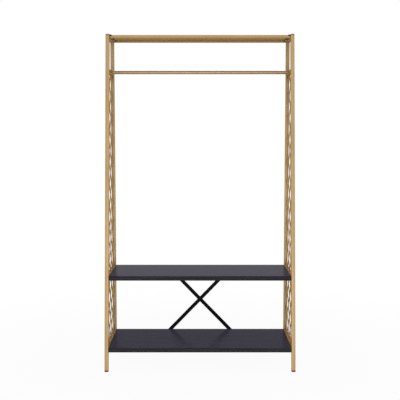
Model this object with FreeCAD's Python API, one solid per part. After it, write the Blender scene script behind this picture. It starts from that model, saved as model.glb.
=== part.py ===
import FreeCAD, Part
import math
import os

# Open frame wardrobe: two lattice side frames of square tube, a sheet top shelf, a hanging rod,
# two boards and a crossed brace between the boards.
# Millimetres. X runs along the width, -Y is the front, +Z is up, and the floor is at zero.

# Overall sizes
overall_width = 1000.0
overall_height = 1770.0
foot_depth = 424.0
top_depth = 234.0

# Square tube of the side frames
tube_side = 20.0
tube_wall = 1.5
tube_corner_radius = 2.0

# Foot plugs and top caps of the posts
foot_pad_height = 6.0
cap_height = 2.0
plug_length = 22.0
plug_clearance = 0.1

# Heights of the boards, and of the rod below the top
rod_drop = 194.0
upper_shelf_top = 498.0
lower_shelf_top = 125.0

# Boards
shelf_thickness = 24.0
shelf_overhang = 2.0
shelf_rear_inset = 10.0
shelf_edge_radius = 1.0
shelf_bolt_inset = 70.0

# Sheet top shelf
pan_edge_height = 14.0
pan_sheet = 1.5
pan_setback = 7.0
pan_corner_radius = 3.0
pan_bend_radius = 2.0
pan_bolt_inset = 50.0

# Hanging rod
rod_radius = 9.0
rod_wall = 1.2
rod_plug_length = 30.0

# Lattice of flat strip
lattice_cell_width = 94.0
lattice_cell_height = 117.0
lattice_strip_width = 8.0
lattice_strip_thickness = 4.0

# Crossed brace of flat bar behind the boards
brace_half_span = 180.0
brace_bar_width = 18.0
brace_bar_thickness = 3.0
brace_end_inset = 3.0
spacer_radius = 6.0
rivet_radius = 3.0
rivet_head_radius = 6.0
rivet_head_height = 2.0

# Frame bolts with their nuts, and how deep those of the boards go in
bolt_radius = 3.0
bolt_head_radius = 5.5
bolt_head_height = 3.2
bolt_hole_clearance = 0.25
thread_clearance = 0.05
bolt_point_length = 3.0
nut_flats = 10.0
nut_height = 5.0
shelf_bolt_depth = 40.0

# Wood screws of the brace
screw_radius = 1.8
screw_head_radius = 3.8
screw_head_height = 2.4
screw_length = 20.0

# Round fasteners and their holes are prisms with this many sides
fastener_sides = 12

# One overrun serves every cut that has to pass through a face
cut_overrun = 5.0

X_AXIS = FreeCAD.Vector(1, 0, 0)
Y_AXIS = FreeCAD.Vector(0, 1, 0)
Z_AXIS = FreeCAD.Vector(0, 0, 1)

half_width = overall_width / 2
inner_half_width = half_width - tube_side
front_lean = (foot_depth - top_depth) / overall_height
rear_y = foot_depth / 2
slant = math.hypot(1, front_lean)
front_post_run = tube_side * slant
post_bottom = foot_pad_height
post_top = overall_height - cap_height
rod_height = overall_height - rod_drop


def front_y(z):
    """Y of the front posts' front face at height z; the rear posts stand upright."""
    return front_lean * z - foot_depth / 2


def bay_front_y(z):
    """Y of the front posts' rear face at height z."""
    return front_y(z) + front_post_run


bay_rear_y = rear_y - tube_side


def rounded_rectangle(x_low, y_low, size_x, size_y, z, radius):
    """Level rectangle with arc corners, as a closed wire."""
    x_high = x_low + size_x
    y_high = y_low + size_y
    reach = radius * (1 - math.sqrt(0.5))
    corners = [
        ((x_low, y_low), (1, 1)),
        ((x_high, y_low), (-1, 1)),
        ((x_high, y_high), (-1, -1)),
        ((x_low, y_high), (1, -1)),
    ]
    edges = []
    last = None
    first = None
    for index, ((x, y), (to_x, to_y)) in enumerate(corners):
        along_x = FreeCAD.Vector(x + to_x * radius, y, z)
        along_y = FreeCAD.Vector(x, y + to_y * radius, z)
        middle = FreeCAD.Vector(x + to_x * reach, y + to_y * reach, z)
        start, end = (along_y, along_x) if index % 2 == 0 else (along_x, along_y)
        if last is not None:
            edges.append(Part.LineSegment(last, start).toShape())
        edges.append(Part.Arc(start, middle, end).toShape())
        first = first or start
        last = end
    edges.append(Part.LineSegment(last, first).toShape())
    return Part.Wire(edges)


def slanted_bar(x_low, y_low, size_x, size_y, z_low, height, lean, radius):
    """Upright bar of rounded rectangular section whose level sections shift in Y as they rise."""
    face = Part.Face(rounded_rectangle(x_low, y_low, size_x, size_y, z_low, radius))
    return face.extrude(FreeCAD.Vector(0, lean * height, height))


def slanted_box(x_low, y_low, size_x, size_y, z_low, height, lean):
    """The same with sharp corners, for the bore of a tube and what goes into it."""
    face = Part.makePlane(size_x, size_y, FreeCAD.Vector(x_low, y_low, z_low))
    return face.extrude(FreeCAD.Vector(0, lean * height, height))


def cylinder(radius, length, base, axis):
    return Part.makeCylinder(radius, length, base, axis)


def prism(sides, corner_radius, height, base, axis, turn_axis):
    """Regular prism that starts at base and grows along axis; one corner points along turn_axis."""
    side_axis = axis.cross(turn_axis)
    corners = []
    for step in range(sides):
        angle = step * 2 * math.pi / sides
        reach = turn_axis * math.cos(angle) + side_axis * math.sin(angle)
        corners.append(base + reach * corner_radius)
    return Part.Face(Part.makePolygon(corners + corners[:1])).extrude(axis * height)


def shank(radius, length, base, axis):
    """Level shank of a fastener, or with a clearance added to its radius the hole that the shank goes through."""
    return prism(fastener_sides, radius, length, base, axis, Z_AXIS)


def headed(radius, length, head_radius, head_height, seat, into):
    """Bolt or screw with its head on seat and its shank pointing along into."""
    return shank(head_radius, head_height, seat, -into).fuse(shank(radius, length, seat, into))


def mirrored(shape):
    """The same shape on the other side of the middle."""
    return shape.mirror(FreeCAD.Vector(0, 0, 0), X_AXIS)


def post(run, lean, y_at_floor):
    """Right-hand post: square tube, open at both ends, cut level at foot and top."""
    height = post_top - post_bottom
    y_low = y_at_floor + lean * post_bottom
    wall_run = tube_wall * run / tube_side
    outer = slanted_bar(inner_half_width, y_low, tube_side, run, post_bottom, height, lean, tube_corner_radius)
    bore = slanted_box(inner_half_width + tube_wall, y_low + wall_run, tube_side - 2 * tube_wall,
                       run - 2 * wall_run, post_bottom, height, lean)
    return outer.cut(bore)


def post_plug(run, lean, y_at_floor, z_pad, pad_height, z_stem):
    """Pad with the post's outline, and a stem that slips into the tube's end."""
    wall_run = tube_wall * run / tube_side
    pad_y = y_at_floor + lean * z_pad
    pad = slanted_bar(inner_half_width, pad_y, tube_side, run, z_pad, pad_height, lean, tube_corner_radius)
    inset = tube_wall + plug_clearance
    inset_run = wall_run + plug_clearance
    stem = slanted_box(inner_half_width + inset, y_at_floor + lean * z_stem + inset_run, tube_side - 2 * inset,
                       run - 2 * inset_run, z_stem, plug_length, lean)
    return pad.fuse(stem).removeSplitter()


def bay_prism(z_low, z_high, x_low, thickness):
    """The space between the two posts of a side frame, over a range of heights."""
    outline = [
        FreeCAD.Vector(x_low, bay_front_y(z_low), z_low),
        FreeCAD.Vector(x_low, bay_rear_y, z_low),
        FreeCAD.Vector(x_low, bay_rear_y, z_high),
        FreeCAD.Vector(x_low, bay_front_y(z_high), z_high),
    ]
    face = Part.Face(Part.makePolygon(outline + outline[:1]))
    return face, face.extrude(X_AXIS * thickness)


def side_rail(z_middle, bolt_ys):
    """Square tube between the posts, coped to the leaning front post and bored for its bolts."""
    z_low = z_middle - tube_side / 2
    section = rounded_rectangle(0, 0, tube_side, tube_side, 0, tube_corner_radius)
    bore_side = tube_side - 2 * tube_wall
    bore = Part.makePlane(bore_side, bore_side, FreeCAD.Vector(tube_wall, tube_wall, 0))
    tube = Part.Face(section).cut(bore).extrude(Z_AXIS * foot_depth)
    tube.rotate(FreeCAD.Vector(0, 0, 0), X_AXIS, -90)
    tube.translate(FreeCAD.Vector(inner_half_width, -foot_depth / 2, z_low + tube_side))
    _, bay = bay_prism(z_low, z_low + tube_side, inner_half_width, tube_side)
    rail = tube.common(bay)
    hole_start = inner_half_width - cut_overrun
    hole_length = tube_side + 2 * cut_overrun
    for y in bolt_ys:
        base = FreeCAD.Vector(hole_start, y, z_middle)
        rail = rail.cut(shank(bolt_radius + bolt_hole_clearance, hole_length, base, X_AXIS))
    return rail


def lattice(z_low, z_high):
    """Diamond lattice between two side rails: whole cells fill the height, and the posts cut the rest."""
    x_low = half_width - tube_side / 2 - lattice_strip_thickness / 2
    sheet, _ = bay_prism(z_low, z_high, x_low, lattice_strip_thickness)
    cells_up = max(1, round((z_high - z_low) / lattice_cell_height))
    half_cell_width = lattice_cell_width / 2
    half_cell_height = (z_high - z_low) / cells_up / 2
    to_side = half_cell_width * half_cell_height / math.hypot(half_cell_width, half_cell_height)
    opening = 1 - lattice_strip_width / 2 / to_side
    columns = math.ceil((bay_rear_y - bay_front_y(z_low)) / half_cell_width)
    diamonds = []
    for column in range(columns + 1):
        for row in range(2 * cells_up + 1):
            if (column + row) % 2 == 0:
                continue
            y = bay_rear_y - column * half_cell_width
            z = z_low + row * half_cell_height
            corners = [
                FreeCAD.Vector(x_low, y - half_cell_width * opening, z),
                FreeCAD.Vector(x_low, y, z - half_cell_height * opening),
                FreeCAD.Vector(x_low, y + half_cell_width * opening, z),
                FreeCAD.Vector(x_low, y, z + half_cell_height * opening),
            ]
            diamonds.append(Part.Face(Part.makePolygon(corners + corners[:1])))
    grid = sheet.cut(Part.makeCompound(diamonds))
    strips = [face.extrude(X_AXIS * lattice_strip_thickness) for face in grid.Faces]
    return Part.makeCompound(strips) if len(strips) > 1 else strips[0]


def frame_bolt(y, z, shank_length):
    """Right-hand bolt: its head on the frame's outer face and its shank pointing inwards."""
    seat = FreeCAD.Vector(half_width, y, z)
    return headed(bolt_radius, shank_length, bolt_head_radius, bolt_head_height, seat, -X_AXIS)


def both_sides(solids):
    """Group of the right-hand solids and their mirror images."""
    return Part.makeCompound(solids + [mirrored(solid) for solid in solids])


# Boards

def shelf_front_y(shelf_top):
    return front_y(shelf_top) - shelf_overhang


shelf_rear_y = rear_y - shelf_rear_inset


def shelf_bolt_ys(shelf_top):
    return [shelf_front_y(shelf_top) + shelf_bolt_inset, shelf_rear_y - shelf_bolt_inset]


def shelf_bolt_z(shelf_top):
    return shelf_top - tube_side / 2


def shelf_middle_z(shelf_top):
    return shelf_top - shelf_thickness / 2


def brace_screw_depths(shelf_top):
    """X of the two brace screws of a board, each with how deep its screw goes into the rear edge."""
    sign = 1 if shelf_top == upper_shelf_top else -1
    front_depth = screw_length - brace_bar_thickness
    return {sign * brace_half_span: front_depth, -sign * brace_half_span: front_depth - brace_bar_thickness}


def shelf(shelf_top):
    """Board with bored ends for the frame bolts and pilot holes in its rear edge for the brace."""
    y_low = shelf_front_y(shelf_top)
    corner = FreeCAD.Vector(-inner_half_width, y_low, shelf_top - shelf_thickness)
    board = Part.makeBox(2 * inner_half_width, shelf_rear_y - y_low, shelf_thickness, corner)
    long_edges = [e for e in board.Edges if abs(e.Vertexes[0].X - e.Vertexes[1].X) > inner_half_width]
    board = board.makeFillet(shelf_edge_radius, long_edges)
    cuts = []
    bore_length = shelf_bolt_depth + thread_clearance + cut_overrun
    for y in shelf_bolt_ys(shelf_top):
        mouth = FreeCAD.Vector(inner_half_width + cut_overrun, y, shelf_bolt_z(shelf_top))
        bore = shank(bolt_radius + thread_clearance, bore_length, mouth, -X_AXIS)
        cuts += [bore, mirrored(bore)]
    for x, depth in brace_screw_depths(shelf_top).items():
        mouth = FreeCAD.Vector(x, shelf_rear_y + cut_overrun, shelf_middle_z(shelf_top))
        pilot_length = depth + thread_clearance + cut_overrun
        cuts.append(shank(screw_radius + thread_clearance, pilot_length, mouth, -Y_AXIS))
    return board.cut(Part.makeCompound(cuts))


def shelf_bolts(shelf_top):
    """Bolts with a coarse thread that bites into the ends of the board."""
    length = tube_side + shelf_bolt_depth
    return both_sides([frame_bolt(y, shelf_bolt_z(shelf_top), length) for y in shelf_bolt_ys(shelf_top)])


# Crossed brace: the front bar lies on the rear edges of the boards, the rear bar one thickness behind

brace_low_z = shelf_middle_z(lower_shelf_top)
brace_high_z = shelf_middle_z(upper_shelf_top)
brace_middle_z = (brace_low_z + brace_high_z) / 2
brace_rise = brace_high_z - brace_low_z
brace_slope = 2 * brace_half_span / brace_rise
brace_level_width = brace_bar_width * math.hypot(1, brace_slope)


def brace_bar(layer):
    """Flat bar from board to board with level ends; the rear bar leans the other way."""
    sign = 1 if layer == "front" else -1
    y_low = shelf_rear_y if layer == "front" else shelf_rear_y + brace_bar_thickness
    z_low = lower_shelf_top - shelf_thickness + brace_end_inset
    z_high = upper_shelf_top - brace_end_inset
    outline = []
    for z, edges in ((z_low, (-1, 1)), (z_high, (1, -1))):
        for edge in edges:
            x = sign * brace_slope * (z - brace_middle_z) + edge * brace_level_width / 2
            outline.append(FreeCAD.Vector(x, y_low, z))
    bar = Part.Face(Part.makePolygon(outline + outline[:1])).extrude(Y_AXIS * brace_bar_thickness)
    places = [
        (-sign * brace_half_span, brace_low_z, screw_radius),
        (0, brace_middle_z, rivet_radius),
        (sign * brace_half_span, brace_high_z, screw_radius),
    ]
    for x, z, radius in places:
        base = FreeCAD.Vector(x, y_low - cut_overrun, z)
        hole_length = brace_bar_thickness + 2 * cut_overrun
        bar = bar.cut(shank(radius + bolt_hole_clearance, hole_length, base, Y_AXIS))
    return bar


def brace_rivet():
    """Rivet with a flat head on each side of the crossing."""
    grip = 2 * brace_bar_thickness
    front = FreeCAD.Vector(0, shelf_rear_y, brace_middle_z)
    rivet = headed(rivet_radius, grip, rivet_head_radius, rivet_head_height, front, Y_AXIS)
    return rivet.fuse(shank(rivet_head_radius, rivet_head_height, front + Y_AXIS * grip, Y_AXIS))


def brace_spacers():
    """Rings as thick as a bar between the boards and the ends of the rear bar."""
    rings = []
    for x, z in ((brace_half_span, brace_low_z), (-brace_half_span, brace_high_z)):
        base = FreeCAD.Vector(x, shelf_rear_y, z)
        ring = shank(spacer_radius, brace_bar_thickness, base, Y_AXIS)
        rings.append(ring.cut(shank(screw_radius + bolt_hole_clearance, brace_bar_thickness, base, Y_AXIS)))
    return Part.makeCompound(rings)


def brace_screws():
    """One wood screw through each end of the two bars into the rear edge of its board."""
    screws = []
    for shelf_top in (lower_shelf_top, upper_shelf_top):
        for x, depth in brace_screw_depths(shelf_top).items():
            seat = FreeCAD.Vector(x, shelf_rear_y + screw_length - depth, shelf_middle_z(shelf_top))
            screws.append(headed(screw_radius, screw_length, screw_head_radius, screw_head_height, seat, -Y_AXIS))
    return Part.makeCompound(screws)


# Top shelf

top_rail_z = post_top - tube_side / 2
pan_bottom = top_rail_z - pan_edge_height / 2
pan_top = pan_bottom + pan_edge_height
pan_front_y = front_y(pan_top) + pan_setback
pan_rear_y = rear_y - pan_setback
pan_bolt_ys = [pan_front_y + pan_bolt_inset, pan_rear_y - pan_bolt_inset]


def top_shelf():
    """Sheet pan with its four edges folded down, bored at both ends for its bolts."""
    depth = pan_rear_y - pan_front_y
    outline = rounded_rectangle(-inner_half_width, pan_front_y, 2 * inner_half_width, depth,
                                pan_bottom, pan_corner_radius)
    body = Part.Face(outline).extrude(Z_AXIS * pan_edge_height)
    rims = [e for e in body.Edges if e.BoundBox.ZMin > pan_top - pan_sheet]
    body = body.makeFillet(pan_bend_radius, rims)
    hollow = rounded_rectangle(-inner_half_width + pan_sheet, pan_front_y + pan_sheet,
                               2 * (inner_half_width - pan_sheet), depth - 2 * pan_sheet,
                               pan_bottom, pan_corner_radius - pan_sheet)
    body = body.cut(Part.Face(hollow).extrude(Z_AXIS * (pan_edge_height - pan_sheet)))
    for y in pan_bolt_ys:
        base = FreeCAD.Vector(-half_width, y, top_rail_z)
        body = body.cut(shank(bolt_radius + bolt_hole_clearance, overall_width, base, X_AXIS))
    return body


def top_shelf_bolts():
    length = tube_side + pan_sheet + nut_height + bolt_point_length
    return both_sides([frame_bolt(y, top_rail_z, length) for y in pan_bolt_ys])


def top_shelf_nuts():
    """Six-sided nuts inside the folded ends, with a flat towards the sheet."""
    nuts = []
    for y in pan_bolt_ys:
        base = FreeCAD.Vector(inner_half_width - pan_sheet, y, top_rail_z)
        corner_radius = nut_flats / 2 / math.cos(math.pi / 6)
        body = prism(6, corner_radius, nut_height, base, -X_AXIS, Y_AXIS)
        nuts.append(body.cut(shank(bolt_radius + thread_clearance, nut_height, base, -X_AXIS)))
    return both_sides(nuts)


# Hanging rod

rod_y = (bay_front_y(rod_height) + bay_rear_y) / 2


def hanging_rod():
    base = FreeCAD.Vector(-inner_half_width, rod_y, rod_height)
    length = 2 * inner_half_width
    return cylinder(rod_radius, length, base, X_AXIS).cut(cylinder(rod_radius - rod_wall, length, base, X_AXIS))


def rod_plugs():
    """Tapped plugs inside the rod's two ends."""
    base = FreeCAD.Vector(inner_half_width - rod_plug_length, rod_y, rod_height)
    plug = cylinder(rod_radius - rod_wall - plug_clearance, rod_plug_length, base, X_AXIS)
    return both_sides([plug.cut(shank(bolt_radius + thread_clearance, rod_plug_length, base, X_AXIS))])


def rod_bolts():
    return both_sides([frame_bolt(rod_y, rod_height, tube_side + rod_plug_length - bolt_point_length)])


# Every piece, by the name of its file

def side_pieces():
    """The pieces of the right-hand side frame."""
    front = (front_post_run, front_lean, -foot_depth / 2)
    rear = (tube_side, 0, bay_rear_y)
    cap_stem_z = post_top - plug_length
    upper_rail_z = shelf_bolt_z(upper_shelf_top)
    lower_rail_z = shelf_bolt_z(lower_shelf_top)
    half_tube = tube_side / 2
    return {
        "front_post": post(*front),
        "rear_post": post(*rear),
        "front_foot": post_plug(*front, 0, foot_pad_height, post_bottom),
        "rear_foot": post_plug(*rear, 0, foot_pad_height, post_bottom),
        "front_cap": post_plug(*front, post_top, cap_height, cap_stem_z),
        "rear_cap": post_plug(*rear, post_top, cap_height, cap_stem_z),
        "top_rail": side_rail(top_rail_z, pan_bolt_ys),
        "rod_rail": side_rail(rod_height, [rod_y]),
        "upper_shelf_rail": side_rail(upper_rail_z, shelf_bolt_ys(upper_shelf_top)),
        "lower_shelf_rail": side_rail(lower_rail_z, shelf_bolt_ys(lower_shelf_top)),
        "upper_lattice": lattice(upper_rail_z + half_tube, rod_height - half_tube),
        "lower_lattice": lattice(lower_rail_z + half_tube, upper_rail_z - half_tube),
    }


def all_pieces():
    pieces = {}
    for name, shape in side_pieces().items():
        pieces["right_" + name] = shape
        pieces["left_" + name] = mirrored(shape)
    pieces["top_shelf"] = top_shelf()
    pieces["top_shelf_bolts"] = top_shelf_bolts()
    pieces["top_shelf_nuts"] = top_shelf_nuts()
    pieces["hanging_rod"] = hanging_rod()
    pieces["rod_plugs"] = rod_plugs()
    pieces["rod_bolts"] = rod_bolts()
    pieces["upper_shelf"] = shelf(upper_shelf_top)
    pieces["upper_shelf_bolts"] = shelf_bolts(upper_shelf_top)
    pieces["lower_shelf"] = shelf(lower_shelf_top)
    pieces["lower_shelf_bolts"] = shelf_bolts(lower_shelf_top)
    pieces["brace_front_bar"] = brace_bar("front")
    pieces["brace_rear_bar"] = brace_bar("rear")
    pieces["brace_rivet"] = brace_rivet()
    pieces["brace_spacers"] = brace_spacers()
    pieces["brace_screws"] = brace_screws()
    return pieces


os.makedirs("parts", exist_ok=True)
for node, solid in all_pieces().items():
    print(node, "solids", len(solid.Solids), "volume", round(solid.Volume), "valid", solid.isValid())
    solid.exportStep("parts/" + node + ".step")
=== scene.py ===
import math

import bmesh
import bpy
import numpy as np
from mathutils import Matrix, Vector


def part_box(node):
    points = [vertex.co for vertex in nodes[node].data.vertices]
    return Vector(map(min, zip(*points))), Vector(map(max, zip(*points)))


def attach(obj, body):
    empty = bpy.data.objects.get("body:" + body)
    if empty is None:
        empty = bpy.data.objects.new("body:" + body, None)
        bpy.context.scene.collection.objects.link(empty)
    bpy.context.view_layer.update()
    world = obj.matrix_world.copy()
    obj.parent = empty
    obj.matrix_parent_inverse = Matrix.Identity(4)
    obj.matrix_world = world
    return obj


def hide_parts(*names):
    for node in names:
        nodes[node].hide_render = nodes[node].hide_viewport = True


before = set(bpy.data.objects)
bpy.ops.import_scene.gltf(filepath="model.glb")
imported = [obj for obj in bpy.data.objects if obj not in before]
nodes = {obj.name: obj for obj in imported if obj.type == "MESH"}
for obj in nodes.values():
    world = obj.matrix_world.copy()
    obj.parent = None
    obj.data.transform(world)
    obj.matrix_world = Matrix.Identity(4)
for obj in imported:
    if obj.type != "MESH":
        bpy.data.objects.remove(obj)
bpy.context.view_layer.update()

# Open frame wardrobe in a white studio. Metres, with -Y to the front, +Z up and the floor at zero.

# Side frames of square tube: the rear posts stand upright, the front posts lean back
HALF_WIDTH = 0.5
HEIGHT = 1.77
FOOT_DEPTH = 0.424
TOP_DEPTH = 0.234
TUBE = 0.02
TUBE_WALL = 0.0015
TUBE_CORNER = 0.002
INNER = HALF_WIDTH - TUBE
MIDDLE = HALF_WIDTH - TUBE / 2
LEAN = (FOOT_DEPTH - TOP_DEPTH) / HEIGHT
POST_RUN = TUBE * math.hypot(1, LEAN)
BAY_REAR = FOOT_DEPTH / 2 - TUBE

# Feet and caps that plug into the posts
FOOT_COLLAR = 0.008
FOOT_EDGE = 0.0012
CAP_COLLAR = 0.004
CAP_EDGE = 0.0009

# Lattice of flat strip; its ends are buried in posts and rails, and one layer is a little thinner
CELL_WIDTH = 0.094
CELL_HEIGHT = 0.117
STRIP_WIDTH = 0.008
STRIP_THICKNESS = 0.004
STRIP_EDGE = 0.0009
STRIP_BURIED = 0.002
SHORTEST_STRIP = 0.004
SPARE_STRIPS = 8
THINNER_LAYER = 0.0001

# Weld beads
BEAD_RADIUS = 0.0018
BEAD_HALF_LENGTH = 0.0082
BEAD_RIPPLE = 0.09
BEAD_RIPPLE_TURN = 34

# Hanging rod
ROD_WALL = 0.0012
ROD_CHAMFER = 0.0003

# Frame bolts, with their lengths below the seat
BOLT_RADIUS = 0.003
BOLT_HEAD_RADIUS = 0.0055
BOLT_KEY = 0.004
THREAD_PITCH = 0.001
THREAD_DEPTH = 0.00045
THREAD_START = 0.0008
THREAD_RUN_OUT = 0.001
BOLT_LENGTHS = {
    "top_shelf_bolts": 0.0295,
    "rod_bolts": 0.047,
    "upper_shelf_bolts": 0.06,
    "lower_shelf_bolts": 0.06,
}

# Crossed brace with its rivet and screws
BAR_WIDTH = 0.0205
BAR_THICKNESS = 0.003
BAR_EDGE = 0.0016
RIVET_HEAD = 0.002
SCREW_RADIUS = 0.0038
SCREW_HEIGHT = 0.0024
RECESS_REACH = 0.0021
RECESS_HALF_WIDTH = 0.0005
RECESS_DEPTH = 0.0011

# Edge clips of the top shelf
CLIP_REACH = 0.012
CLIP_LAP = 0.012
CLIP_PROUD = 0.0022
CLIP_EDGE = 0.0012
CLIP_GAP = 0.0002

# Studio
AMBIENT = 0.40
FLOOR_REACH = 14.0
CAMERA_TILT = 4.7


def bay_front(z):
    """Y of the leaning front post's rear face at height z."""
    return LEAN * z - FOOT_DEPTH / 2 + POST_RUN


# Surfaces

def ring(steps):
    """Angles of a full turn, without the last one, which is the first again."""
    return np.linspace(0, 2 * np.pi, steps, endpoint=False)


def four_corners(steps):
    """Angles of a full turn, quarter by quarter, each with the signs of x and y of its corner."""
    angle = np.concatenate([np.linspace(q, q + 1, steps) for q in range(4)]) * np.pi / 2
    return angle, np.repeat([1, -1, -1, 1], steps), np.repeat([1, 1, -1, -1], steps)


def rounded_section(width, thickness, radius, steps):
    """Outline of a flat bar: a core rectangle's corner plus radius times the unit circle, corner by corner."""
    angle, side_x, side_y = four_corners(steps)
    x = side_x * (width / 2 - radius) + radius * np.cos(angle)
    y = side_y * (thickness / 2 - radius) + radius * np.sin(angle)
    return x, y


def with_poles(rows):
    """The same rings of points between two more, shrunk to their middle, which close the ends."""
    middle = np.broadcast_to(rows.mean(-2, keepdims=True), rows.shape)
    return np.concatenate([middle[..., :1, :, :], rows, middle[..., -1:, :, :]], -3)


def rounded_box(low, high, radius):
    """Box with round edges: a smaller box's corner plus radius times the unit sphere, octant by octant."""
    steps = 5
    low, high = np.array(low, float), np.array(high, float)
    core = (high - low) / 2 - radius
    turn, side_x, side_y = four_corners(steps)
    rise = np.concatenate([np.linspace(-1, 0, steps), np.linspace(0, 1, steps)]) * np.pi / 2
    side_z = np.repeat([-1, 1], steps)
    flat = np.cos(rise)[:, None]
    x = side_x * core[0] + radius * flat * np.cos(turn)
    y = side_y * core[1] + radius * flat * np.sin(turn)
    z = (side_z * core[2] + radius * np.sin(rise))[:, None] + 0 * x
    return with_poles(np.stack([x, y, z], -1) + (low + high) / 2)


def turned(radii, heights, steps):
    """Turned body about X: each radius at its height, carried round a full turn."""
    angle = ring(steps)
    x = np.repeat(np.array(heights, float)[:, None], steps, 1)
    y = np.outer(radii, np.cos(angle))
    z = np.outer(radii, np.sin(angle))
    return np.stack([x, y, z], -1)


def both_sides(grid):
    """A right-hand grid and its mirror image."""
    return [grid, grid * np.array([-1.0, 1.0, 1.0])]


def quads_of(shape):
    """Quads of many grids of rings at once: each ring is closed, and each grid's indices follow the last one's."""
    count, rows, columns = shape
    index = np.arange(rows * columns).reshape(rows, columns)
    index = np.concatenate([index, index[:, :1]], 1)
    quads = np.stack([index[:-1, :-1], index[:-1, 1:], index[1:, 1:], index[1:, :-1]], -1).reshape(-1, 4)
    return (quads[None] + np.arange(count)[:, None, None] * rows * columns).reshape(-1, 4)


def piece(name, grids, finish, slot, *stands_for, sharp=40):
    """One object that rides on the root, from grids of rings.

    A grid is (rings, points, 3) or (copies, rings, points, 3). Edges that turn by more than sharp degrees stay
    crisp.
    """
    points, quads, start = [], [], 0
    for grid in grids:
        grid = grid if grid.ndim == 4 else grid[None]
        points.append(grid.reshape(-1, 3))
        quads.append(quads_of(grid.shape[:3]) + start)
        start += points[-1].shape[0]
    mesh = bpy.data.meshes.new(name)
    mesh.from_pydata(np.concatenate(points).tolist(), [], np.concatenate(quads).tolist())
    work = bmesh.new()
    work.from_mesh(mesh)
    bmesh.ops.remove_doubles(work, verts=work.verts, dist=1e-6)
    bmesh.ops.recalc_face_normals(work, faces=work.faces)
    work.to_mesh(mesh)
    work.free()
    mesh.polygons.foreach_set("use_smooth", np.ones(len(mesh.polygons), bool))
    mesh.set_sharp_from_angle(angle=math.radians(sharp))
    mesh.materials.append(finish)
    made = bpy.data.objects.new(name, mesh)
    bpy.context.scene.collection.objects.link(made)
    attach(made, "root")
    if stands_for:
        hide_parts(*stands_for)


# Finishes

class Socket:
    """One output of a shader node; sums and products of it add Math nodes."""

    def __init__(self, finish, link):
        self.finish = finish
        self.link = link

    def __add__(self, other):
        return self.finish.math("ADD", self, other)

    def __sub__(self, other):
        return self.finish.math("SUBTRACT", self, other)

    def __rsub__(self, other):
        return self.finish.math("SUBTRACT", other, self)

    def __mul__(self, other):
        return self.finish.math("MULTIPLY", self, other)

    __radd__ = __add__
    __rmul__ = __mul__


class Finish:
    """A node tree being filled; node() adds any node and gives one of its outputs."""

    def __init__(self, owner):
        owner.use_nodes = True
        self.owner = owner
        self.tree = owner.node_tree
        self.tree.nodes.clear()

    def node(self, kind, settings=None, sockets=None, output=0):
        made = self.tree.nodes.new(kind)
        for key, value in (settings or {}).items():
            setattr(made, key, value)
        for key, value in (sockets or {}).items():
            if isinstance(value, Socket):
                self.tree.links.new(value.link, made.inputs[key])
            else:
                made.inputs[key].default_value = value
        return Socket(self, made.outputs[output]) if made.outputs else None

    def math(self, operation, first, second):
        return self.node("ShaderNodeMath", {"operation": operation}, {0: first, 1: second})

    def blend(self, factor, first, second):
        """Colour between two colours."""
        return self.node("ShaderNodeMix", {"data_type": "RGBA"}, {0: factor, 6: first, 7: second}, 2)

    def place(self):
        """Where on the piece a point lies."""
        return self.node("ShaderNodeTexCoord", output="Object")

    def noise(self, scale, detail, stretch=(1, 1, 1)):
        """Noise of the given scale per metre, drawn out where stretch is small."""
        spot = self.node("ShaderNodeMapping", sockets={"Vector": self.place(), "Scale": stretch})
        return self.node("ShaderNodeTexNoise", sockets={"Vector": spot, "Scale": scale, "Detail": detail})

    def bump(self, height, strength, distance):
        return self.node("ShaderNodeBump", sockets={"Height": height, "Strength": strength, "Distance": distance})

    def surface(self, sockets):
        """The finished material, with these sockets of its one shader set or linked."""
        shader = self.node("ShaderNodeBsdfPrincipled", sockets=sockets)
        self.node("ShaderNodeOutputMaterial", sockets={"Surface": shader})
        return self.owner


def gold_paint():
    """Satin gold powder coat: fine metal flake, a little orange peel and slow drifts of tone."""
    coat = Finish(bpy.data.materials.new("gold_paint"))
    flake = coat.noise(scale=2400.0, detail=2.0)
    drift = coat.noise(scale=4.0, detail=3.0)
    peel = coat.noise(scale=380.0, detail=2.0)
    tone = (flake * 0.35 + drift * 0.65) * 2.0 - 0.5
    return coat.surface({
        "Base Color": coat.blend(tone, (0.355, 0.236, 0.108, 1), (0.510, 0.350, 0.170, 1)),
        "Metallic": 0.6,
        "Roughness": flake * 0.16 + 0.40,
        "Specular IOR Level": 0.05,
        "Specular Tint": (0.7, 0.45, 0.2, 1),
        "Normal": coat.bump(peel, strength=0.25, distance=0.0004),
    })


def rod_gold():
    """Gold of the hanging rod: bare plated tube, drawn smooth, with fine hanger marks round it."""
    plate = Finish(bpy.data.materials.new("rod_gold"))
    marks = plate.noise(scale=520.0, detail=3.0, stretch=(1, 0.04, 0.04))
    drift = plate.noise(scale=6.0, detail=2.0)
    tone = marks * 0.3 + drift * 0.7
    return plate.surface({
        "Base Color": plate.blend(tone, (0.270, 0.179, 0.083, 1), (0.370, 0.253, 0.122, 1)),
        "Metallic": 0.85,
        "Roughness": marks * 0.08 + 0.33,
        "Normal": plate.bump(marks, strength=0.03, distance=0.0002),
    })


def gold_plate():
    """Gold plated steel of the bolts, smoother than the tubes, with faint turning marks."""
    plate = Finish(bpy.data.materials.new("gold_plate"))
    marks = plate.noise(scale=900.0, detail=2.0, stretch=(1, 0.25, 0.25))
    return plate.surface({
        "Base Color": plate.blend(marks, (0.42, 0.28, 0.12, 1), (0.62, 0.44, 0.22, 1)),
        "Metallic": 0.75,
        "Roughness": marks * 0.15 + 0.24,
        "Normal": plate.bump(marks, strength=0.15, distance=0.0002),
    })


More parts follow.
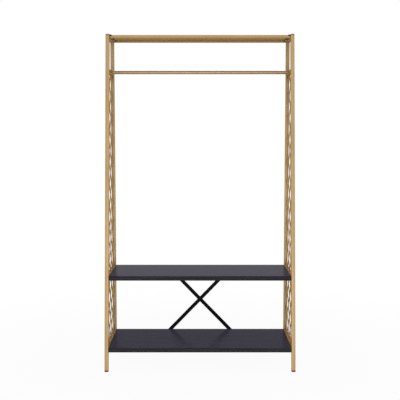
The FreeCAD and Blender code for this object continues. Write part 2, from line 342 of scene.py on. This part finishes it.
def zinc_with_painted_shade():
    """Grey zinc plating with the mottled crystals of a dipped coat, kept darker than bare zinc as painted shade
    under the top shelf and at the rod's ends.
    """
    plate = Finish(bpy.data.materials.new("zinc_with_painted_shade"))
    crystal = plate.noise(scale=700.0, detail=3.0)
    return plate.surface({
        # Darker than bare zinc: painted shade for the nuts under the top shelf and the plugs at the rod's ends
        "Base Color": plate.blend(crystal, (0.24, 0.24, 0.24, 1), (0.42, 0.42, 0.41, 1)),
        "Metallic": 0.9,
        "Roughness": crystal * 0.2 + 0.28,
    })


def board_foil():
    """Dark grey foil of the boards: a fine wood grain along the length, pressed a little into the surface."""
    foil = Finish(bpy.data.materials.new("board_foil"))
    streak = foil.noise(scale=95.0, detail=5.0, stretch=(0.025, 1, 1))
    pore = foil.noise(scale=620.0, detail=2.0, stretch=(0.045, 1, 1))
    drift = foil.noise(scale=2.2, detail=2.0, stretch=(0.6, 1.5, 1))
    grain = (streak * 0.6 + pore * 0.4) * 2.6 - 0.8
    tone = grain * 0.8 + drift * 0.2
    return foil.surface({
        "Base Color": foil.blend(tone, (0.016, 0.015, 0.018, 1), (0.058, 0.056, 0.065, 1)),
        "Roughness": grain * 0.14 + 0.13,
        "Specular IOR Level": 0.0032,
        "Sheen Weight": 0.2,
        "Sheen Roughness": 0.4,
        "Sheen Tint": (0.46, 0.45, 0.84, 1),
        "Normal": foil.bump(grain, strength=0.15, distance=0.0003),
    })


def black_coat():
    """Matt black powder coat of the brace, with its fine pebbled skin."""
    coat = Finish(bpy.data.materials.new("black_coat"))
    pebble = coat.noise(scale=1100.0, detail=2.0)
    drift = coat.noise(scale=14.0, detail=2.0)
    tone = pebble * 0.6 + drift * 0.4
    return coat.surface({
        "Base Color": coat.blend(tone, (0.004, 0.004, 0.0042, 1), (0.012, 0.012, 0.0125, 1)),
        "Roughness": pebble * 0.2 + 0.45,
        "Specular IOR Level": 0.04,
        "Normal": coat.bump(pebble, strength=0.3, distance=0.0003),
    })


def black_oxide():
    """Black oxide of the rivet, the spacers and the screws, a little shinier than the bars."""
    skin = Finish(bpy.data.materials.new("black_oxide"))
    speck = skin.noise(scale=1800.0, detail=2.0)
    return skin.surface({
        "Base Color": skin.blend(speck, (0.005, 0.005, 0.0055, 1), (0.016, 0.016, 0.017, 1)),
        "Metallic": 0.2,
        "Roughness": speck * 0.2 + 0.30,
        "Specular IOR Level": 0.15,
    })


def brown_plastic():
    """Moulded dark bronze plastic of the feet, caps and clips, with a fine spark-eroded texture."""
    skin = Finish(bpy.data.materials.new("brown_plastic"))
    grit = skin.noise(scale=1500.0, detail=2.0)
    return skin.surface({
        "Base Color": skin.blend(grit, (0.030, 0.020, 0.010, 1), (0.060, 0.040, 0.022, 1)),
        "Roughness": grit * 0.2 + 0.45,
        "Specular IOR Level": 0.12,
        "Normal": skin.bump(grit, strength=0.3, distance=0.0002),
    })


gold = gold_paint()
rod_coat = rod_gold()
plated = gold_plate()
zinc = zinc_with_painted_shade()
foil = board_foil()
black = black_coat()
oxide = black_oxide()
plastic = brown_plastic()


def dress(node, finish):
    """Puts a finish on a node of the frame."""
    nodes[node].data.materials.clear()
    nodes[node].data.materials.append(finish)


for node in nodes:
    if node.endswith("_rail") or node == "top_shelf":
        dress(node, gold)
    elif node in ("top_shelf_nuts", "rod_plugs"):
        dress(node, zinc)
    elif node in ("upper_shelf", "lower_shelf"):
        dress(node, foil)
    elif node == "brace_spacers":
        dress(node, oxide)


# Posts, which end where the collars of their feet and caps begin

def post_tube(lean, y_foot):
    """Right-hand post of square tube: its level outline is carried up along y = lean times the height.

    Rings run up the bore, over the top, down the outside and back to the bore, which closes the wall.
    """
    run = TUBE * math.hypot(1, lean)
    z_low, z_high = FOOT_COLLAR, HEIGHT - CAP_COLLAR
    z = np.array([z_low, z_high, z_high, z_low, z_low])[:, None]
    insets = (TUBE_WALL, TUBE_WALL, 0, 0, TUBE_WALL)
    outlines = np.array([rounded_section(TUBE - 2 * inset, run - 2 * inset, TUBE_CORNER - inset, 6)
                         for inset in insets])
    x = outlines[:, 0] + MIDDLE
    y = outlines[:, 1] + y_foot + run / 2 + lean * z
    return np.stack([x, y, z + 0 * x], -1)


for place, lean, y_foot in (("front", LEAN, -FOOT_DEPTH / 2), ("rear", 0.0, BAY_REAR)):
    for side, tube in zip(("right", "left"), both_sides(post_tube(lean, y_foot))):
        node = f"{side}_{place}_post"
        piece(node + "_tube", [tube], gold, "gold_steel", node, sharp=10)


# Lattice panels

def lattice_strips(z_low, z_high):
    """Strips of a right-hand panel, in two layers that slant along the two diagonals of a cell.

    A strip's outline is carried along its diagonal. The line through each point of the outline starts at the bay's
    rear and is cut by the four planes of the bay, moved outwards so that the ends are buried: a plane is reached
    after the room up to it, divided by how fast the line nears it.
    """
    cells = max(1, round((z_high - z_low) / CELL_HEIGHT))
    half_width, half_height = CELL_WIDTH / 2, (z_high - z_low) / cells / 2
    across, through = rounded_section(STRIP_WIDTH, STRIP_THICKNESS, STRIP_EDGE, 4)
    planes = np.array([[0, 1], [0, -1], [1, 0], [-1, LEAN]], float)
    limits = np.array([z_high, -z_low, BAY_REAR, -bay_front(0)]) + STRIP_BURIED
    layers = []
    for slant, thinner in ((1, 0.0), (-1, THINNER_LAYER)):
        along = np.array([half_width, slant * half_height])
        along = along / np.linalg.norm(along)
        normal = np.array([-along[1], along[0]])
        start = np.arange(-cells * 2 - SPARE_STRIPS, cells * 3 + SPARE_STRIPS) * 2 * half_height + z_low
        middle = np.stack([np.full(start.shape, BAY_REAR), start], -1)
        lines = middle[:, None] + across[None, :, None] * normal
        speed = planes @ along
        reach = (limits - lines @ planes.T) / speed
        end = np.where(speed > 0, reach, np.inf).min(-1)
        begin = np.where(speed < 0, reach, -np.inf).max(-1)
        whole = (end - begin).min(1) > SHORTEST_STRIP
        spots = np.stack([begin, end], 1)[whole][..., None] * along + lines[whole][:, None]
        x = np.broadcast_to(MIDDLE + through * (1 - thinner / STRIP_THICKNESS), spots.shape[:-1])
        layers.append(with_poles(np.concatenate([x[..., None], spots], -1)))
    return layers


for part in ("upper", "lower"):
    low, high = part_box(f"right_{part}_lattice")
    strips = lattice_strips(low.z, high.z)
    for side, turn in (("right", 1.0), ("left", -1.0)):
        grids = [grid * np.array([turn, 1.0, 1.0]) for grid in strips]
        piece(f"{side}_{part}_lattice_strips", grids, gold, "gold_steel", f"{side}_{part}_lattice")


# Weld beads where the rails meet the posts

def weld_beads():
    """Right-hand beads along X: a capsule whose radius ripples along its length, half sunk in the corner."""
    length = np.linspace(-1, 1, 33)
    capsule = BEAD_RADIUS * np.sqrt(np.clip(1 - length ** 8, 0, 1))
    ripple = 1 + BEAD_RIPPLE * np.sin(length * BEAD_RIPPLE_TURN)
    bead = turned(capsule * ripple, length * BEAD_HALF_LENGTH, 12)
    spots = []
    for rail in ("top_rail", "rod_rail", "upper_shelf_rail", "lower_shelf_rail"):
        low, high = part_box("right_" + rail)
        for z in (low.z, high.z):
            spots += [(MIDDLE, BAY_REAR, z), (MIDDLE, bay_front(z), z)]
    return bead + np.array(spots)[:, None, None]


piece("weld_beads", both_sides(weld_beads()), gold, "gold_steel", sharp=80)


# Hanging rod

def open_tube(radius, wall, start, end, chamfer):
    """Tube about X: out along the bore, round one chamfered end, back along the outside and round the other."""
    bore, brim = radius - wall, radius - chamfer
    radii = [bore, bore, brim, radius, radius, brim, bore]
    heights = [start, end, end, end - chamfer, start + chamfer, start, start]
    return turned(radii, heights, 96)


low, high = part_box("hanging_rod")
rod_middle = np.array([0, (low.y + high.y) / 2, (low.z + high.z) / 2])
rod = open_tube((high.z - low.z) / 2, ROD_WALL, low.x, high.x, ROD_CHAMFER) + rod_middle
piece("rod_tube", [rod], rod_coat, "gold_steel", "hanging_rod", sharp=30)


# Bolts with domed heads and six-sided sockets

def socket_bolt(length, head_height):
    """Bolt along X, its seat at zero and its head towards +X.

    Rings from the socket's floor outwards, each a height and the radius at every angle: the six-sided socket, the
    dome as a quarter ellipse that goes from six-sided to round, the seat, and the shank, whose radius swings with
    the turn and the depth, which is its thread.
    """
    angle = ring(48)[None]
    six = BOLT_KEY / 2 / np.cos((angle + np.pi / 6) % (np.pi / 3) - np.pi / 6)
    circle = np.ones(angle.shape)
    floor = head_height * 0.35
    swing = np.linspace(0.02, 1, 9)[:, None] * np.pi / 2
    dome_height = head_height * (0.25 + 0.75 * np.cos(swing))
    dome_radius = six * (1 - np.sin(swing)) * 1.08 + BOLT_HEAD_RADIUS * np.sin(swing)
    depth = np.linspace(THREAD_START, length - THREAD_RUN_OUT, 90)[:, None]
    thread = 0.5 + 0.5 * np.cos(angle - 2 * np.pi * depth / THREAD_PITCH)
    rings = (
        (floor, six * 0.02),
        (floor, six),
        (head_height, six),
        (dome_height, dome_radius),
        (0.0, circle * BOLT_HEAD_RADIUS),
        (0.0, circle * BOLT_RADIUS),
        (-depth, BOLT_RADIUS - THREAD_DEPTH * thread),
        (-length, circle * BOLT_RADIUS * 0.7),
    )
    x = np.concatenate([height + 0 * radius for height, radius in rings])
    radius = np.concatenate([radius for height, radius in rings])
    return with_poles(np.stack([x, radius * np.cos(angle), radius * np.sin(angle)], -1))


for node, length in BOLT_LENGTHS.items():
    low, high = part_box(node)
    if node == "rod_bolts":
        rows = [(low.y + high.y) / 2]
    else:
        rows = [low.y + BOLT_HEAD_RADIUS, high.y - BOLT_HEAD_RADIUS]
    seats = np.array([(HALF_WIDTH, y, (low.z + high.z) / 2) for y in rows])
    bolts = socket_bolt(length, high.x - HALF_WIDTH) + seats[:, None, None]
    piece(node + "_domed", both_sides(bolts), plated, "gold_fixings", node, sharp=30)


# Bars of the brace

def rolled_bar(node, lean):
    """Flat bar with rolled edges: its level outline is carried along x = lean times the height above its middle.

    At both ends the outline is smaller by half an edge all round, which rounds them too.
    """
    low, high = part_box(node)
    z = np.array([low.z, low.z + BAR_EDGE, high.z - BAR_EDGE, high.z])[:, None]
    trims = (BAR_EDGE / 2, 0, 0, BAR_EDGE / 2)
    outlines = np.array([rounded_section(BAR_WIDTH - 2 * trim, high.y - low.y - 2 * trim, BAR_EDGE / 2, 6)
                         for trim in trims])
    x = outlines[:, 0] * math.hypot(1, lean) + lean * (z - (low.z + high.z) / 2)
    y = outlines[:, 1] + (low.y + high.y) / 2
    return with_poles(np.stack([x, y, z + 0 * x], -1))


low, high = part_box("brace_screws")
brace_lean = (high.x - low.x - 2 * SCREW_RADIUS) / (high.z - low.z - 2 * SCREW_RADIUS)
for layer, side in (("front", 1), ("rear", -1)):
    node = f"brace_{layer}_bar"
    piece(node + "_rolled", [rolled_bar(node, side * brace_lean)], black, "black_steel", node, sharp=50)


# Rivet and screws of the brace

def facing_back(grid):
    """A body about X turned to point along +Y."""
    return np.stack([-grid[..., 1], grid[..., 0], grid[..., 2]], -1)


def domed_rivet(radius):
    """Rivet along X through both bars: a quarter ellipse from rim to crown at each end, carried round."""
    swing = np.linspace(0, 1, 9) * np.pi / 2
    rise, width = RIVET_HEAD * np.sin(swing), radius * np.cos(swing) + 1e-5
    heights = np.concatenate([-rise[::-1], 2 * BAR_THICKNESS + rise])
    return with_poles(turned(np.concatenate([width[::-1], width]), heights, 40))


def cross_screw():
    """Screw head along X on a seat at zero: a dome less a cross recess, which is deepest along its slots."""
    angle = ring(64)
    share = np.linspace(0.02, 1, 26)[:, None]
    y, z = share * SCREW_RADIUS * np.cos(angle), share * SCREW_RADIUS * np.sin(angle)
    upright = np.exp(-(y / RECESS_HALF_WIDTH) ** 4) * (np.abs(z) < RECESS_REACH)
    level = np.exp(-(z / RECESS_HALF_WIDTH) ** 4) * (np.abs(y) < RECESS_REACH)
    dome = SCREW_HEIGHT * np.sqrt(np.clip(1 - 0.8 * share ** 2.5, 0, 1))
    crown = np.stack([dome - RECESS_DEPTH * np.maximum(upright, level), y, z], -1)
    seat = np.stack([0 * angle, SCREW_RADIUS * np.cos(angle), SCREW_RADIUS * np.sin(angle)], -1)[None]
    return with_poles(np.concatenate([crown, seat]))


low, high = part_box("brace_rivet")
rivet_middle = np.array([0, low.y + RIVET_HEAD, (low.z + high.z) / 2])
rivet = facing_back(domed_rivet((high.x - low.x) / 2)) + rivet_middle
piece("rivet_domed", [rivet], oxide, "black_fixings", "brace_rivet")

low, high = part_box("brace_screws")
screw_x = high.x - SCREW_RADIUS
rear_seat = high.y - SCREW_HEIGHT
front_seat = rear_seat - BAR_THICKNESS
z_low, z_high = low.z + SCREW_RADIUS, high.z - SCREW_RADIUS
spots = [(-screw_x, front_seat, z_low), (screw_x, rear_seat, z_low),
         (screw_x, front_seat, z_high), (-screw_x, rear_seat, z_high)]
screws = facing_back(cross_screw()) + np.array(spots)[:, None, None]
piece("screws_domed", [screws], oxide, "black_fixings", "brace_screws", sharp=50)


# Feet and caps

def sheared(grid, lean, z):
    """The same points moved along Y by lean for each metre above z."""
    return grid + (grid[..., 2:] - z) * np.array([0.0, lean, 0.0])


def plug_pads(kind, z_low, z_high, radius):
    """Round-edged pads with the posts' outline, front and rear on both sides, between two heights."""
    front_y = LEAN * z_low - FOOT_DEPTH / 2
    front = rounded_box((INNER, front_y, z_low), (HALF_WIDTH, front_y + POST_RUN, z_high), radius)
    rear = rounded_box((INNER, BAY_REAR, z_low), (HALF_WIDTH, BAY_REAR + TUBE, z_high), radius)
    grids = both_sides(sheared(front, LEAN, z_low)) + both_sides(rear)
    replaced = [f"{side}_{place}_{kind}" for side in ("left", "right") for place in ("front", "rear")]
    piece(kind + "_pads", grids, plastic, "plastic", *replaced)


plug_pads("foot", 0.0, FOOT_COLLAR, FOOT_EDGE)
plug_pads("cap", HEIGHT - CAP_COLLAR, HEIGHT, CAP_EDGE)


# Edge clips on the corners of the top shelf, which keep its sheet from ringing against the posts; their dark
# plastic also stands in for the shade in those corners, as painted shade

def edge_clips():
    """Clips on both sides, front and rear: round-edged blocks that stand proud of the corner's top and edge, dark,
    so they also paint the corners' shade.
    """
    low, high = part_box("top_shelf")
    x_low, x_high = high.x - CLIP_REACH, high.x - CLIP_GAP
    z_low, z_high = high.z - CLIP_LAP / 2, high.z + CLIP_PROUD
    front = rounded_box((x_low, low.y - CLIP_PROUD, z_low), (x_high, low.y + CLIP_LAP, z_high), CLIP_EDGE)
    rear = rounded_box((x_low, high.y - CLIP_LAP, z_low), (x_high, high.y + CLIP_PROUD, z_high), CLIP_EDGE)
    return both_sides(front) + both_sides(rear)


# Dark clips that also stand in for the shade in the top shelf's corners: painted shade
piece("top_shelf_clips_and_painted_shade", edge_clips(), plastic, "plastic")


# Studio

def seen(tree):
    """One for rays from the camera and for mirrored or refracted ones, zero for light that falls on things."""
    path = "ShaderNodeLightPath"
    camera = tree.node(path, output="Is Camera Ray")
    glossy = tree.node(path, output="Is Glossy Ray")
    through = tree.node(path, output="Is Transmission Ray")
    return tree.math("MAXIMUM", tree.math("MAXIMUM", camera, glossy), through)


def studio_world():
    """White surroundings to the eye and in mirrors, which light things with the ambient share only."""
    world = bpy.data.worlds.new("studio")
    bpy.context.scene.world = world
    sky = Finish(world)
    light = sky.node("ShaderNodeBackground", sockets={"Color": (1, 1, 1, 1), "Strength": AMBIENT})
    white = sky.node("ShaderNodeBackground", sockets={"Color": (1, 1, 1, 1), "Strength": 1.0})
    both = sky.node("ShaderNodeMixShader", sockets={0: seen(sky), 1: light, 2: white})
    sky.node("ShaderNodeOutputWorld", sockets={"Surface": both})


def studio_floor():
    """White floor that is mostly its own white to the eye and keeps a faint shadow."""
    mesh = bpy.data.meshes.new("studio_floor")
    r = FLOOR_REACH
    mesh.from_pydata([(-r, -r, 0), (r, -r, 0), (r, r, 0), (-r, r, 0)], [], [(0, 1, 2, 3)])
    floor = bpy.data.objects.new("studio_floor", mesh)
    bpy.context.scene.collection.objects.link(floor)
    paper = Finish(bpy.data.materials.new("white_paper"))
    tooth = paper.noise(scale=60.0, detail=3.0)
    matt = paper.node("ShaderNodeBsdfDiffuse", sockets={
        "Color": paper.blend(tooth, (0.86, 0.86, 0.86, 1), (0.90, 0.90, 0.90, 1))})
    white = paper.node("ShaderNodeEmission", sockets={"Color": (1, 1, 1, 1), "Strength": 1.0})
    away = paper.node("ShaderNodeVectorMath", {"operation": "LENGTH"}, {0: paper.place()}, 1)
    fade = paper.node("ShaderNodeMapRange", {"interpolation_type": "SMOOTHSTEP"},
                      {"Value": away, "From Min": 0.4, "From Max": 2.6, "To Min": 0.95, "To Max": 1.0})
    both = paper.node("ShaderNodeMixShader", sockets={0: seen(paper) * fade, 1: matt, 2: white})
    paper.node("ShaderNodeOutputMaterial", sockets={"Surface": both})
    mesh.materials.append(paper.owner)


def soft_light(name, place, target, size, power):
    """Square soft box at place, turned to target."""
    lamp = bpy.data.lights.new(name, "AREA")
    lamp.size = size
    lamp.energy = power
    box = bpy.data.objects.new(name, lamp)
    box.location = place
    box.rotation_euler = (Vector(target) - Vector(place)).to_track_quat("-Z", "Y").to_euler()
    bpy.context.scene.collection.objects.link(box)


studio_world()
studio_floor()
soft_light("front_box", place=(0.0, -5.2, 3.9), target=(0.0, 0.0, 0.9), size=2.6, power=46.0)
soft_light("low_box", place=(0.0, -2.6, 0.48), target=(0.0, 0.0, 0.50), size=0.9, power=17.0)

lens = bpy.data.cameras.new("camera")
lens.lens = 68.54
camera = bpy.data.objects.new("camera", lens)
camera.location = (0.0, -4.110, 1.2239)
camera.rotation_euler = (math.radians(90 - CAMERA_TILT), 0.0, 0.0)
bpy.context.scene.collection.objects.link(camera)
bpy.context.scene.camera = camera
bpy.context.scene.view_settings.view_transform = "Standard"
